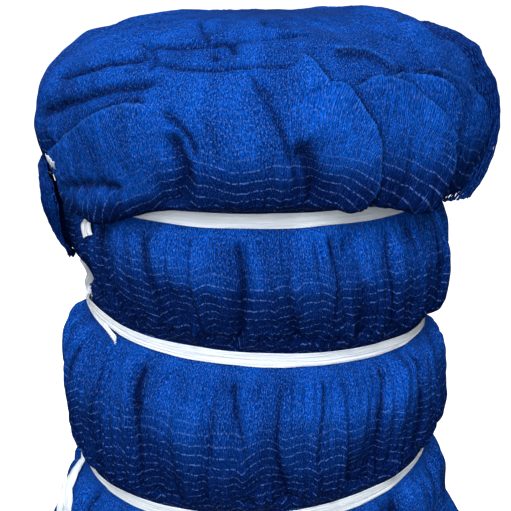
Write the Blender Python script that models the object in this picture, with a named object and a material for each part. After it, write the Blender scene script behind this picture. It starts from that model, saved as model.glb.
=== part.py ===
# A tied bale of knotted fishing net, standing upright. Metres, +Z up, the front towards -Y.
# The origin is the centre of the flat base.

import math
from collections import namedtuple

import bmesh
import bpy
from mathutils import Vector

# Driving sizes
NECK_GAP = 0.0004        # clear space between the net and a ribbon drawn round it
RIBBON_WIDTH = 0.0125
RIBBON_THICKNESS = 0.0010
SHEET_THICKNESS = 0.0012
COLUMNS = 92             # facets round the bale
FOOT_EDGE = 0.180        # half width of the flat base

# Sections of the bale from the base to the crown. half_width is along X and half_depth along Y.
# shift moves a section's centre along X, slope tilts it, and folds and lobes say how much of
# the storey's folds or of the head's lobes the section takes.
Section = namedtuple("Section", "storey height half_width half_depth shift slope folds lobes")
SECTIONS = (
    Section("foot", 0.0000, FOOT_EDGE, 0.1600, 0.000, 0.000, 0.0, 0.0),
    Section("foot", 0.0060, 0.2000, 0.1780, 0.000, 0.000, 0.3, 0.0),
    Section("foot", 0.0220, 0.2140, 0.1910, 0.000, 0.000, 0.7, 0.0),
    Section("foot", 0.0550, 0.2230, 0.2000, 0.000, 0.000, 1.0, 0.0),
    Section("foot", 0.0900, 0.2245, 0.2020, 0.000, 0.000, 1.0, 0.0),
    Section("foot", 0.1200, 0.2215, 0.1990, 0.000, 0.000, 1.0, 0.0),
    Section("foot", 0.1430, 0.2120, 0.1920, -0.001, 0.000, 0.8, 0.0),
    Section("low", 0.1560, 0.2015, 0.1840, -0.001, 0.010, 0.4, 0.0),
    Section("low", 0.1680, 0.1995, 0.1830, -0.001, 0.020, 0.8, 0.0),
    Section("low", 0.1880, 0.1985, 0.1835, -0.001, 0.030, 1.0, 0.0),
    Section("low", 0.2040, 0.1935, 0.1800, -0.001, 0.040, 0.8, 0.0),
    Section("low", 0.2145, 0.1840, 0.1725, 0.000, 0.044, 0.4, 0.0),
    Section("low", 0.2205, 0.1742, 0.1662, 0.000, 0.044, 0.0, 0.0),
    Section("middle", 0.2365, 0.1742, 0.1662, 0.000, 0.044, 0.0, 0.0),
    Section("middle", 0.2425, 0.1840, 0.1735, -0.001, 0.040, 0.4, 0.0),
    Section("middle", 0.2560, 0.1885, 0.1810, -0.002, 0.030, 0.8, 0.0),
    Section("middle", 0.2800, 0.1920, 0.1855, -0.002, 0.010, 1.0, 0.0),
    Section("middle", 0.3080, 0.1935, 0.1850, -0.003, -0.010, 1.0, 0.0),
    Section("middle", 0.3320, 0.1910, 0.1800, -0.002, -0.030, 1.0, 0.0),
    Section("middle", 0.3500, 0.1850, 0.1690, 0.000, -0.042, 0.7, 0.0),
    Section("middle", 0.3605, 0.1750, 0.1570, 0.002, -0.047, 0.4, 0.0),
    Section("middle", 0.3660, 0.1645, 0.1458, 0.003, -0.047, 0.0, 0.0),
    Section("upper", 0.3820, 0.1645, 0.1458, 0.003, -0.047, 0.0, 0.0),
    Section("upper", 0.3880, 0.1705, 0.1550, 0.007, -0.045, 0.4, 0.0),
    Section("upper", 0.4000, 0.1750, 0.1660, 0.010, -0.035, 0.8, 0.0),
    Section("upper", 0.4200, 0.1790, 0.1735, 0.008, -0.020, 1.0, 0.0),
    Section("upper", 0.4440, 0.1815, 0.1755, 0.005, -0.010, 1.0, 0.0),
    Section("upper", 0.4650, 0.1800, 0.1710, 0.002, 0.000, 0.9, 0.0),
    Section("upper", 0.4800, 0.1770, 0.1630, 0.000, 0.000, 0.7, 0.0),
    Section("upper", 0.4880, 0.1720, 0.1555, 0.000, 0.000, 0.3, 0.0),
    Section("upper", 0.4915, 0.1680, 0.1502, 0.000, 0.000, 0.0, 0.0),
    Section("head", 0.5065, 0.1680, 0.1502, 0.000, 0.000, 0.0, 0.0),
    Section("head", 0.5090, 0.1740, 0.1560, 0.000, 0.000, 0.0, 0.1),
    Section("head", 0.5110, 0.1850, 0.1670, 0.000, 0.000, 0.0, 0.5),
    Section("head", 0.5150, 0.1925, 0.1750, 0.001, 0.000, 0.0, 0.8),
    Section("head", 0.5240, 0.1980, 0.1800, 0.002, 0.000, 0.0, 1.0),
    Section("head", 0.5400, 0.2025, 0.1835, 0.002, 0.000, 0.0, 1.0),
    Section("head", 0.5580, 0.2050, 0.1845, 0.000, 0.000, 0.0, 1.0),
    Section("head", 0.5760, 0.2025, 0.1820, 0.000, 0.000, 0.0, 1.0),
    Section("head", 0.5930, 0.1975, 0.1765, -0.002, 0.000, 0.0, 1.0),
    Section("head", 0.6090, 0.1890, 0.1675, -0.001, 0.000, 0.0, 1.0),
    Section("head", 0.6230, 0.1750, 0.1530, 0.000, 0.000, 0.0, 0.9),
    Section("head", 0.6350, 0.1550, 0.1340, 0.002, 0.000, 0.0, 0.8),
    Section("head", 0.6440, 0.1240, 0.1070, 0.008, 0.000, 0.0, 0.7),
    Section("head", 0.6500, 0.0940, 0.0810, 0.010, 0.000, 0.0, 0.6),
    Section("head", 0.6540, 0.0600, 0.0520, 0.010, 0.000, 0.0, 0.4),
    Section("head", 0.6560, 0.0280, 0.0240, 0.010, 0.000, 0.0, 0.0),
)

# Lengthwise folds that show at the front. Angles are in degrees from the front, positive to the
# right; width is half a trough's width, and lean is how far it moves over the storey's height.
Fold = namedtuple("Fold", "angle width depth lean")
FRONT_FOLDS = {
    "foot": (
        Fold(-78, 5, 0.009, 2), Fold(-58, 5, 0.007, -3), Fold(-37, 5, 0.010, 2), Fold(-17, 4, 0.007, 0),
        Fold(4, 5, 0.009, -2), Fold(25, 4, 0.008, 2), Fold(46, 5, 0.010, 3), Fold(68, 5, 0.008, -2),
    ),
    "low": (
        Fold(-76, 4, 0.005, 2), Fold(-60, 4, 0.006, 0), Fold(-41, 4, 0.005, 1), Fold(-22, 4, 0.007, 0),
        Fold(-3, 4, 0.005, -2), Fold(14, 4, 0.006, 0), Fold(33, 4, 0.007, 2), Fold(57, 4, 0.006, 0),
        Fold(76, 4, 0.005, 0),
    ),
    "middle": (
        Fold(-66, 5, 0.006, 3), Fold(-51, 4, 0.006, 2), Fold(-34, 5, 0.007, 2), Fold(-21, 4, 0.005, 0),
        Fold(-3, 4, 0.007, -4), Fold(8, 4, 0.006, -3), Fold(26, 4, 0.007, 1), Fold(38, 4, 0.006, 2),
        Fold(57, 5, 0.007, 3), Fold(75, 5, 0.006, 0),
    ),
    "upper": (
        Fold(-70, 5, 0.006, -3), Fold(-50, 5, 0.007, -3), Fold(-32, 4, 0.006, 0), Fold(-18, 4, 0.005, 0),
        Fold(-6, 4, 0.008, 0), Fold(9, 4, 0.005, 0), Fold(20, 4, 0.005, 0), Fold(30, 4, 0.009, 0),
        Fold(50, 5, 0.008, -2), Fold(66, 5, 0.006, 0), Fold(81, 5, 0.006, 0),
    ),
    "head": (),
}
BACK_FOLDS = 10          # folds round the unseen back of each storey
BACK_FROM, BACK_TO = 95, 268
BACK_DEPTHS = (0.008, 0.005, 0.007)

# Folded lobes of the head, each lapping over the next one towards its edge. Angles of the edge
# are given low, half way up and at the top of the head; span is the width that rises to the edge.
Lobe = namedtuple("Lobe", "low middle top span step")
HEAD_LOBES = (
    Lobe(23, 28, 19, 16, 0.0140),
    Lobe(41, 49, 35, 20, 0.0150),
    Lobe(50, 57, 46, 8, 0.0060),
    Lobe(84, 72, 55, 18, 0.0110),
    Lobe(114, 108, 96, 28, 0.0120),
    Lobe(140, 134, 126, 24, 0.0110),
    Lobe(168, 160, 152, 26, 0.0130),
    Lobe(196, 188, 180, 26, 0.0110),
    Lobe(222, 216, 208, 26, 0.0130),
    Lobe(250, 244, 236, 26, 0.0110),
)
LOBE_FALL = 1.8          # degrees over which a lobe's edge drops
FOLLOW_FROM = 0.8        # share of lobes from which the columns follow the edges fully
LOBES_FROM, LOBES_TO = 0.511, 0.640
SHOULDER_FROM, SHOULDER_TO = 0.595, 0.655   # heights between which relief turns from out to up

# Troughs of the head: the drawn-in groove left of the front panel, the dent to its right, and
# the notch at the far left where the ribbon's end and the loose flap come out.
Trough = namedtuple("Trough", "angle width depth lowest highest")
HEAD_TROUGHS = (
    Trough(-18, 7, 0.013, 0.505, 0.585),
    Trough(12, 5, 0.009, 0.505, 0.572),
    Trough(-62, 6, 0.012, 0.505, 0.556),
    Trough(-92, 6, 0.012, 0.505, 0.545),
)

# Where the head's lower lip hangs over the tie: the left pillow's curl and the right lobes.
Hang = namedtuple("Hang", "angle width drop")
HANGS = (Hang(-47, 16, 0.022), Hang(66, 26, 0.013))
HANG_TOP = 0.560

# The pillow-like lobe at the left: its upper edge climbs to the right.
PILLOW_LEFT, PILLOW_RIGHT = -57, -22
PILLOW_STEP = 0.0120
PILLOW_EDGE_HIGH, PILLOW_EDGE_ANGLE, PILLOW_EDGE_SLOPE = 0.592, -29, 0.00154
PILLOW_SOFTNESS = 0.018
PILLOW_CREASE_HEIGHT, PILLOW_CREASE_WIDTH, PILLOW_CREASE_DEPTH = 0.524, 0.004, 0.006

# Soft folds that cross the crown from left to right.
CrownFold = namedtuple("CrownFold", "at width height")
CROWN_FOLDS = (
    CrownFold(-0.085, 0.020, 0.0040),
    CrownFold(-0.020, 0.022, 0.0045),
    CrownFold(0.055, 0.024, 0.0050),
    CrownFold(0.115, 0.018, 0.0035),
)
CROWN_FROM = 0.609

# The ribbons. Each is drawn round a neck; its knot lies at an angle, and every end is a strip
# whose route is a row of (angle, height, lift off the net).
RouteStop = namedtuple("RouteStop", "angle height lift")
Tie = namedtuple("Tie", "name height knot_angle ends")
End = namedtuple("End", "width_start width_tip stops")
TIES = (
    Tie("tie_1", 0.4990, -62, (
        End(0.010, 0.007, (
            RouteStop(-61, 0.4980, 0.0040), RouteStop(-58, 0.4880, 0.0030),
            RouteStop(-56, 0.4780, 0.0025), RouteStop(-55, 0.4660, 0.0022),
        )),
        End(0.007, 0.011, (
            RouteStop(-64, 0.4975, 0.0040), RouteStop(-65, 0.4955, 0.0200),
            RouteStop(-64, 0.5000, 0.0330), RouteStop(-62, 0.5080, 0.0290),
            RouteStop(-60, 0.5240, 0.0070), RouteStop(-59, 0.5420, 0.0055),
        )),
    )),
    Tie("tie_2", 0.3740, -84, (
        End(0.007, 0.010, (
            RouteStop(-83, 0.3780, 0.0040), RouteStop(-82, 0.3880, 0.0030),
            RouteStop(-81, 0.4000, 0.0024), RouteStop(-80, 0.4150, 0.0022),
        )),
        End(0.006, 0.005, (
            RouteStop(-82, 0.3720, 0.0042), RouteStop(-74, 0.3670, 0.0046),
            RouteStop(-65, 0.3610, 0.0032), RouteStop(-57, 0.3530, 0.0024),
            RouteStop(-52, 0.3440, 0.0022),
        )),
    )),
    Tie("tie_3", 0.2285, -81, (
        End(0.006, 0.012, (
            RouteStop(-80, 0.2260, 0.0042), RouteStop(-78, 0.2150, 0.0036),
            RouteStop(-76, 0.2020, 0.0026), RouteStop(-74, 0.1860, 0.0022),
            RouteStop(-72, 0.1690, 0.0022),
        )),
    )),
)
KNOT_HALF_WIDTH, KNOT_HALF_DEPTH, KNOT_HALF_HEIGHT = 0.0062, 0.0034, 0.0058
END_STEPS = 10
SLOPE_REACH = 0.006      # how far up and down the net's slope is read under a free end

# Loose layers of the net that stand off the bale. Each row is a height, the layer's own half
# width and half depth round the bale's axis, and the angles where the layer starts and ends.
SheetRow = namedtuple("SheetRow", "height half_width half_depth start end")
LOOSE_EDGE = (
    SheetRow(0.6270, 0.1877, 0.1657, 72, 104),
    SheetRow(0.6140, 0.2080, 0.1870, 69, 112),
    SheetRow(0.5960, 0.2205, 0.2000, 66, 120),
    SheetRow(0.5760, 0.2250, 0.2045, 64, 125),
    SheetRow(0.5520, 0.2260, 0.2055, 62, 127),
    SheetRow(0.5300, 0.2225, 0.2030, 61, 126),
    SheetRow(0.5080, 0.2140, 0.1960, 60, 119),
    SheetRow(0.4930, 0.2030, 0.1870, 58, 106),
)
LOOSE_FLAP = (
    SheetRow(0.5290, 0.1993, 0.1813, -108, -91),
    SheetRow(0.5140, 0.2040, 0.1862, -110, -86),
    SheetRow(0.4900, 0.2020, 0.1850, -115, -76),
    SheetRow(0.4620, 0.1930, 0.1810, -117, -67),
    SheetRow(0.4420, 0.1850, 0.1790, -115, -66),
    SheetRow(0.4240, 0.1770, 0.1755, -112, -70),
)
SHEET_COLUMNS = 16
SHEET_ROWS = 12
SHEET_RIPPLE, SHEET_WAVES = 0.0012, 5

NET_BLUE = (0.010, 0.075, 0.42, 1.0)
SHEER_BLUE = (0.008, 0.045, 0.26, 1.0)
RIBBON_WHITE = (0.80, 0.84, 0.88, 1.0)


def smooth(value):
    value = min(1.0, max(0.0, value))
    return value * value * (3.0 - 2.0 * value)


def bell(distance, width):
    return math.exp(-((distance / width) ** 2))


def turn_between(angle, other):
    """The shortest turn in degrees from one angle to another."""
    return (angle - other + 180.0) % 360.0 - 180.0


def section_at(height):
    """The bale's section at any height below the crown, read between the rows of the table."""
    for low, high in zip(SECTIONS, SECTIONS[1:]):
        if low.height <= height <= high.height:
            share = (height - low.height) / (high.height - low.height)
            values = [a + (b - a) * share for a, b in zip(low[1:], high[1:])]
            storey = low.storey if share < 0.5 else high.storey
            return Section(storey, *values)
    raise ValueError("height outside the bale")


def back_folds(storey):
    """Uneven folds round the back, each storey's a little turned from the next one's."""
    turn = len(storey)
    pitch = (BACK_TO - BACK_FROM) / BACK_FOLDS
    for number in range(BACK_FOLDS):
        angle = BACK_FROM + pitch * (number + 0.5) + 5.0 * math.sin(2.4 * number + turn)
        depth = BACK_DEPTHS[(number + turn) % len(BACK_DEPTHS)]
        yield Fold(angle, 5, depth, 2.0 * math.cos(number))


def storey_share(section):
    """How far up its storey a section lies, from 0 to 1."""
    heights = [row.height for row in SECTIONS if row.storey == section.storey]
    share = (section.height - heights[0]) / (heights[-1] - heights[0])
    return min(1.0, max(0.0, share))


def fold_relief(angle, section):
    if section.folds == 0.0 or section.storey == "head":
        return 0.0
    up = storey_share(section) - 0.5
    folds = list(FRONT_FOLDS[section.storey]) + list(back_folds(section.storey))
    depth = sum(
        fold.depth * bell(turn_between(angle, fold.angle + fold.lean * up), fold.width)
        for fold in folds
    )
    return -depth * section.folds


def lobe_edge(lobe, height):
    """The angle of a lobe's edge at a height of the head."""
    up = min(1.0, max(0.0, (height - LOBES_FROM) / (LOBES_TO - LOBES_FROM)))
    if up < 0.5:
        return lobe.low + (lobe.middle - lobe.low) * smooth(up * 2.0)
    return lobe.middle + (lobe.top - lobe.middle) * smooth(up * 2.0 - 1.0)


def follow_edges(angle, section):
    """A column's angle, turned so that in the head one column runs along each lobe's edge
    and the next one along its foot."""
    if section.lobes == 0.0:
        return angle
    facet = 360.0 / COLUMNS
    pairs = []
    for lobe in HEAD_LOBES:
        column = facet * round(lobe.middle / facet)
        edge = lobe_edge(lobe, section.height)
        pairs += [(column, edge), (column + facet, edge + LOBE_FALL)]
    pairs.append((pairs[0][0] + 360.0, pairs[0][1] + 360.0))
    place = angle % 360.0
    if place < pairs[0][0]:
        place += 360.0
    for (low, low_edge), (high, high_edge) in zip(pairs, pairs[1:]):
        if low <= place <= high:
            share = (place - low) / (high - low)
            turned = low_edge + (high_edge - low_edge) * share
            return angle + turn_between(turned, place) * smooth(section.lobes / FOLLOW_FROM)
    return angle


def lobe_relief(angle, section):
    """The height of the head's lapping lobes over its plain section."""
    if section.lobes == 0.0:
        return 0.0
    relief = 0.0
    for lobe in HEAD_LOBES:
        before = -turn_between(angle, lobe_edge(lobe, section.height))
        if 0.0 <= before <= lobe.span:
            relief += lobe.step * math.sin(0.5 * math.pi * (1.0 - before / lobe.span))
        elif -LOBE_FALL < before < 0.0:
            relief += lobe.step * (1.0 + before / LOBE_FALL)
    for trough in HEAD_TROUGHS:
        fade = smooth((trough.highest - section.height) / (trough.highest - trough.lowest))
        relief -= trough.depth * fade * bell(turn_between(angle, trough.angle), trough.width)
    relief += pillow_relief(angle, section.height)
    return relief * section.lobes


def pillow_side(angle):
    """1 inside the left pillow's width, easing to 0 past its sides."""
    ease = 9.0
    return smooth((angle - PILLOW_LEFT) / ease + 0.5) * smooth((PILLOW_RIGHT - angle) / ease + 0.5)


def pillow_relief(angle, height):
    edge = PILLOW_EDGE_HIGH - PILLOW_EDGE_SLOPE * (PILLOW_EDGE_ANGLE - angle)
    below = smooth((edge - height) / PILLOW_SOFTNESS)
    crease = PILLOW_CREASE_DEPTH * bell(height - PILLOW_CREASE_HEIGHT, PILLOW_CREASE_WIDTH)
    return (PILLOW_STEP * below - crease) * pillow_side(angle)


def lip_drop(angle, section):
    """How far the head's lip hangs below its plain lower edge."""
    if section.storey != "head" or section.lobes < 0.5:
        return 0.0
    reach = smooth((HANG_TOP - section.height) / (HANG_TOP - LOBES_FROM))
    return reach * sum(
        hang.drop * bell(turn_between(angle, hang.angle), hang.width) for hang in HANGS
    )


def crown_relief(y, height):
    share = smooth((height - CROWN_FROM) / (SECTIONS[-1].height - CROWN_FROM))
    return share * sum(fold.height * bell(y - fold.at, fold.width) for fold in CROWN_FOLDS)


def bale_point(angle, section, lift=0.0):
    """A point of the bale's surface, lifted off it. The angle is in degrees from the front."""
    turn = math.radians(angle)
    shoulder = (section.height - SHOULDER_FROM) / (SHOULDER_TO - SHOULDER_FROM)
    tip = 0.5 * math.pi * smooth(shoulder)
    relief = fold_relief(angle, section) + lobe_relief(angle, section)
    out = lift + relief * math.cos(tip)
    x = section.shift + (section.half_width + out) * math.sin(turn)
    y = -(section.half_depth + out) * math.cos(turn)
    z = section.height + section.slope * x - lip_drop(angle, section)
    return (x, y, z + relief * math.sin(tip) + crown_relief(y, section.height))


def material(name, colour, roughness):
    made = bpy.data.materials.new(name)
    made.use_nodes = True
    shader = made.node_tree.nodes["Principled BSDF"]
    shader.inputs["Base Color"].default_value = colour
    shader.inputs["Roughness"].default_value = roughness
    shader.inputs["Metallic"].default_value = 0.0
    return made


def grid_object(name, columns, rows, place, look):
    """A grid whose points are placed by place(column, row), with points that meet made one."""
    shape = bmesh.new()
    bmesh.ops.create_grid(shape, x_segments=columns, y_segments=rows, size=1.0)
    for vert in shape.verts:
        column = round((vert.co.x + 1.0) * 0.5 * columns)
        row = round((vert.co.y + 1.0) * 0.5 * rows)
        vert.co = place(column, row)
    bmesh.ops.remove_doubles(shape, verts=shape.verts, dist=0.00001)
    bmesh.ops.recalc_face_normals(shape, faces=shape.faces)
    mesh = bpy.data.meshes.new(name)
    shape.to_mesh(mesh)
    shape.free()
    mesh.shade_smooth()
    made = bpy.data.objects.new(name, mesh)
    bpy.context.scene.collection.objects.link(made)
    made.data.materials.append(look)
    return made


def column_angle(column):
    return 360.0 * (column % COLUMNS) / COLUMNS - 180.0


def build_bale(look):
    """One closed skin: the middle of the base, each section in turn, and the crown's middle."""
    crown = SECTIONS[-1]
    crown_top = (crown.shift, 0.0, crown.height + 0.0004 + crown_relief(0.0, crown.height))

    def place(column, row):
        if row == 0:
            return (0.0, 0.0, 0.0)
        if row > len(SECTIONS):
            return crown_top
        section = SECTIONS[row - 1]
        return bale_point(follow_edges(column_angle(column), section), section)

    return grid_object("net_bale", COLUMNS, len(SECTIONS) + 1, place, look)


def hide_cutter(cutter):
    cutter.hide_render = True
    cutter.display_type = "WIRE"


def join_to(body, extra):
    join = body.modifiers.new(extra.name, "BOOLEAN")
    join.operation = "UNION"
    join.solver = "EXACT"
    join.object = extra
    hide_cutter(extra)


def build_band(tie, look):
    """The ribbon's loop: a flat rectangle carried round the neck's own facets."""
    section = section_at(tie.height)
    inner = NECK_GAP
    outer = NECK_GAP + RIBBON_THICKNESS
    half = RIBBON_WIDTH / 2.0
    corners = ((inner, -half), (outer, -half), (outer, half), (inner, half))

    def place(column, row):
        lift, rise = corners[row % len(corners)]
        x, y, z = bale_point(column_angle(column), section, lift)
        return (x, y, z + rise)

    return grid_object(tie.name, COLUMNS, len(corners), place, look)


def build_knot(tie, look):
    section = section_at(tie.height)
    lift = NECK_GAP + 0.4 * RIBBON_THICKNESS + KNOT_HALF_DEPTH
    shape = bmesh.new()
    bmesh.ops.create_icosphere(shape, subdivisions=2, radius=1.0)
    mesh = bpy.data.meshes.new(tie.name + "_knot")
    bmesh.ops.scale(
        shape, vec=(KNOT_HALF_WIDTH, KNOT_HALF_DEPTH, KNOT_HALF_HEIGHT), verts=shape.verts
    )
    shape.to_mesh(mesh)
    shape.free()
    knot = bpy.data.objects.new(mesh.name, mesh)
    bpy.context.scene.collection.objects.link(knot)
    knot.location = bale_point(tie.knot_angle, section, lift)
    knot.rotation_euler = (0.0, 0.0, math.radians(tie.knot_angle))
    knot.data.materials.append(look)
    return knot


def route_value(stops, share):
    """Angle, height and lift along a route, at a share of its length."""
    at = share * (len(stops) - 1)
    first = min(int(at), len(stops) - 2)
    part = at - first
    return [a + (b - a) * part for a, b in zip(stops[first], stops[first + 1])]


def outward_from(angle, height):
    """The way out from the bale's plain side, tipped by its slope near a height."""
    turn = math.radians(angle)
    above = section_at(height + SLOPE_REACH).half_width
    below = section_at(height - SLOPE_REACH).half_width
    slope = (above - below) / (2.0 * SLOPE_REACH)
    return Vector((math.sin(turn), -math.cos(turn), -slope)).normalized()


def build_end(tie, number, end, look):
    """A free end: a thin strip along its route, flat to the net, with closed tips."""
    middle = []
    for step in range(END_STEPS + 1):
        angle, height, lift = route_value(end.stops, step / END_STEPS)
        point = Vector(bale_point(angle, section_at(height), lift))
        middle.append((point, outward_from(angle, height)))

    def place(column, row):
        point, outward = middle[row]
        along = middle[min(END_STEPS, row + 1)][0] - middle[max(0, row - 1)][0]
        across = along.cross(outward).normalized()
        face = across.cross(along).normalized()
        share = row / END_STEPS
        half = 0.5 * (end.width_start + (end.width_tip - end.width_start) * share)
        side, layer = ((-1, 0), (1, 0), (1, 1), (-1, 1))[column % 4]
        return point + across * half * side + face * RIBBON_THICKNESS * layer

    strip = grid_object(f"{tie.name}_end_{number}", 4, END_STEPS, place, look)
    shape = bmesh.new()
    shape.from_mesh(strip.data)
    bmesh.ops.holes_fill(shape, edges=shape.edges, sides=4)
    bmesh.ops.recalc_face_normals(shape, faces=shape.faces)
    shape.to_mesh(strip.data)
    shape.free()
    return strip


def build_tie(tie, look):
    band = build_band(tie, look)
    join_to(band, build_knot(tie, look))
    for number, end in enumerate(tie.ends):
        join_to(band, build_end(tie, number, end, look))
    return band


def sheet_row(rows, share):
    """A loose layer's row at a share of its height, read smoothly between the table's rows."""
    at = share * (len(rows) - 1)
    first = min(int(at), len(rows) - 2)
    part = at - first
    return SheetRow(*(a + (b - a) * part for a, b in zip(rows[first], rows[first + 1])))


def build_sheet(name, rows, look):
    """A thin loose layer of netting that hangs off the head, uneven along its free edges."""

    def place(column, row):
        line = sheet_row(rows, row / SHEET_ROWS)
        across = column / SHEET_COLUMNS
        turn = math.radians(line.start + (line.end - line.start) * across)
        ripple = SHEET_RIPPLE * math.sin(SHEET_WAVES * across * math.pi)
        x = (line.half_width + ripple) * math.sin(turn)
        y = -(line.half_depth + ripple) * math.cos(turn)
        return (x, y, line.height)

    sheet = grid_object(name, SHEET_COLUMNS, SHEET_ROWS, place, look)
    thicken = sheet.modifiers.new("thickness", "SOLIDIFY")
    thicken.thickness = SHEET_THICKNESS
    thicken.offset = 0.0
    return sheet


def main():
    for item in list(bpy.data.objects):
        bpy.data.objects.remove(item, do_unlink=True)
    net = material("net twine, royal blue", NET_BLUE, 0.62)
    sheer = material("net twine, single layer", SHEER_BLUE, 0.66)
    ribbon = material("ribbon film, white", RIBBON_WHITE, 0.42)
    build_bale(net)
    for tie in TIES:
        build_tie(tie, ribbon)
    build_sheet("loose_edge", LOOSE_EDGE, sheer)
    build_sheet("loose_flap", LOOSE_FLAP, sheer)


main()
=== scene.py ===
# Dressing for a tied bale of knotted fishing net: the net's skins, its ribbons and its loose layers.
import math

import bmesh
import bpy
import numpy as np
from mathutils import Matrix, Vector, noise


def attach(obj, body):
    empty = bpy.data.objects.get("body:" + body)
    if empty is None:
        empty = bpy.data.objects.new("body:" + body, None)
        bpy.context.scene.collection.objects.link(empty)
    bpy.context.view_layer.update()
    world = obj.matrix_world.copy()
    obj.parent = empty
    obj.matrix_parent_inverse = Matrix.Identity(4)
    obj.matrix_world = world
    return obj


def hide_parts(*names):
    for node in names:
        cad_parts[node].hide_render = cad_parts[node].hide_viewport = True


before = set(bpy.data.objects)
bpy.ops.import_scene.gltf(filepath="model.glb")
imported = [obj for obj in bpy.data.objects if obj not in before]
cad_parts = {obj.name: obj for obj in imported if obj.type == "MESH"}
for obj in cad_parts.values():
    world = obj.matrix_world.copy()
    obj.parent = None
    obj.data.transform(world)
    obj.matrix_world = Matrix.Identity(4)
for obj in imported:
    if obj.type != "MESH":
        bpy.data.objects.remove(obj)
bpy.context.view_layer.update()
print("stage: frame loaded")


# Small helpers

def smooth(value):
    value = np.clip(value, 0.0, 1.0)
    return value * value * (3.0 - 2.0 * value)


def bell(distance, width):
    return np.exp(-((distance / width) ** 2))


def turnBetween(angle, other):
    return (angle - other + 180.0) % 360.0 - 180.0


def noiseAt(a, b, c):
    # soft noise for whole arrays of places
    a, b, c = np.broadcast_arrays(a, b, c)
    places = zip(a.ravel().tolist(), b.ravel().tolist(), c.ravel().tolist())
    return np.array([noise.noise(place) for place in places]).reshape(a.shape)


def roundNoise(angle, along, size, stretch, seed):
    # noise that closes round the bale: its grain has this size in metres, stretched lengthwise
    turn = np.radians(angle)
    reach = bale["noiseRadius"] / size
    return noiseAt(reach * np.sin(turn) + seed, reach * np.cos(turn), along / (size * stretch) + seed)


def ropes(angle, along, size, stretch, seed):
    # bunched cloth: round ridges with sharp creases between them, about -1 to 1
    return np.abs(roundNoise(angle, along, size, stretch, seed)) / 0.28 - 0.85


# The bale's form: height, half width, half depth, sideways shift and slope of each section.

bale = {
    "noiseRadius": 0.19,
    "foot": (
        (0, 0.001, 0.001, 0, 0), (0, 0.1, 0.089, 0, 0), (0, 0.18, 0.16, 0, 0),
        (0.006, 0.2, 0.178, 0, 0), (0.022, 0.214, 0.191, 0, 0), (0.055, 0.223, 0.2, 0, 0),
        (0.09, 0.2245, 0.202, 0, 0), (0.12, 0.2215, 0.199, 0, 0), (0.143, 0.212, 0.192, -0.001, 0),
        (0.156, 0.2015, 0.184, -0.001, 0.01), (0.168, 0.1995, 0.183, -0.001, 0.02),
        (0.188, 0.1985, 0.1835, -0.001, 0.03), (0.204, 0.1935, 0.18, -0.001, 0.04),
        (0.2145, 0.184, 0.1725, 0, 0.044), (0.2205, 0.1742, 0.1662, 0, 0.044),
        (0.2285, 0.1742, 0.1662, 0, 0.044),
    ),
    "middle": (
        (0.2285, 0.1742, 0.1662, 0, 0.044), (0.2365, 0.1742, 0.1662, 0, 0.044),
        (0.2425, 0.182, 0.1735, -0.001, 0.04), (0.256, 0.1885, 0.181, -0.002, 0.03),
        (0.28, 0.192, 0.1855, -0.002, 0.01), (0.308, 0.1935, 0.185, -0.003, -0.01),
        (0.332, 0.191, 0.18, -0.002, -0.03), (0.35, 0.185, 0.169, 0, -0.042),
        (0.3605, 0.175, 0.157, 0.002, -0.047), (0.366, 0.1645, 0.1458, 0.003, -0.047),
        (0.374, 0.1645, 0.1458, 0.003, -0.047),
    ),
    "upper": (
        (0.374, 0.1645, 0.1458, 0.003, -0.047), (0.382, 0.1645, 0.1458, 0.003, -0.047),
        (0.388, 0.1705, 0.155, 0.007, -0.045), (0.4, 0.175, 0.166, 0.01, -0.035),
        (0.42, 0.179, 0.1735, 0.008, -0.02), (0.444, 0.1815, 0.1755, 0.005, -0.01),
        (0.465, 0.18, 0.171, 0.002, 0), (0.48, 0.177, 0.163, 0, 0), (0.488, 0.172, 0.1555, 0, 0),
        (0.4915, 0.168, 0.1502, 0, 0), (0.499, 0.168, 0.1502, 0, 0),
    ),
    "head": (
        (0.499, 0.168, 0.1502, 0, 0), (0.5065, 0.168, 0.1502, 0, 0), (0.509, 0.174, 0.156, 0, 0),
        (0.511, 0.185, 0.167, 0, 0), (0.515, 0.1925, 0.175, 0.001, 0), (0.524, 0.198, 0.18, 0.002, 0),
        (0.54, 0.2025, 0.1835, 0.002, 0), (0.558, 0.205, 0.1845, 0, 0), (0.576, 0.2025, 0.182, 0, 0),
        (0.593, 0.1975, 0.1765, -0.002, 0), (0.609, 0.189, 0.1675, -0.001, 0), (0.623, 0.175, 0.153, 0, 0),
        (0.635, 0.155, 0.134, 0.002, 0), (0.644, 0.124, 0.107, 0.008, 0), (0.65, 0.094, 0.081, 0.01, 0),
        (0.654, 0.06, 0.052, 0.01, 0), (0.656, 0.028, 0.024, 0.01, 0), (0.6562, 0.0008, 0.0008, 0.01, 0),
    ),
}


def densify(sections, count):
    # the sections read at equal steps along the bale's side, their corners eased
    table = np.array(sections)
    steps = np.hypot(np.diff(table[:, 0]), np.diff(table[:, 1]))
    along = np.concatenate(([0.0], np.cumsum(steps)))
    even = np.linspace(0.0, along[-1], count)
    rows = np.stack([np.interp(even, along, table[:, k]) for k in range(5)], axis=1)
    for _ in range(3):
        rows[1:-1] = 0.25 * rows[:-2] + 0.5 * rows[1:-1] + 0.25 * rows[2:]
    return rows, even


def plainPoint(angle, rows, drop=0.0):
    turn = np.radians(angle)
    x = rows[..., 3] + rows[..., 1] * np.sin(turn)
    y = -rows[..., 2] * np.cos(turn)
    return np.stack([x, y, rows[..., 0] + rows[..., 4] * x - drop], axis=-1)


def unit(ways):
    return ways / np.maximum(np.linalg.norm(ways, axis=-1, keepdims=True), 1e-9)


def outwardOf(points):
    # unit normals of a grid of points, rows going up and columns going round to the right
    return unit(np.cross(np.gradient(points, axis=1), np.gradient(points, axis=0)))


def around(angle, at, width):
    return bell(turnBetween(angle, at), width)


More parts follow.
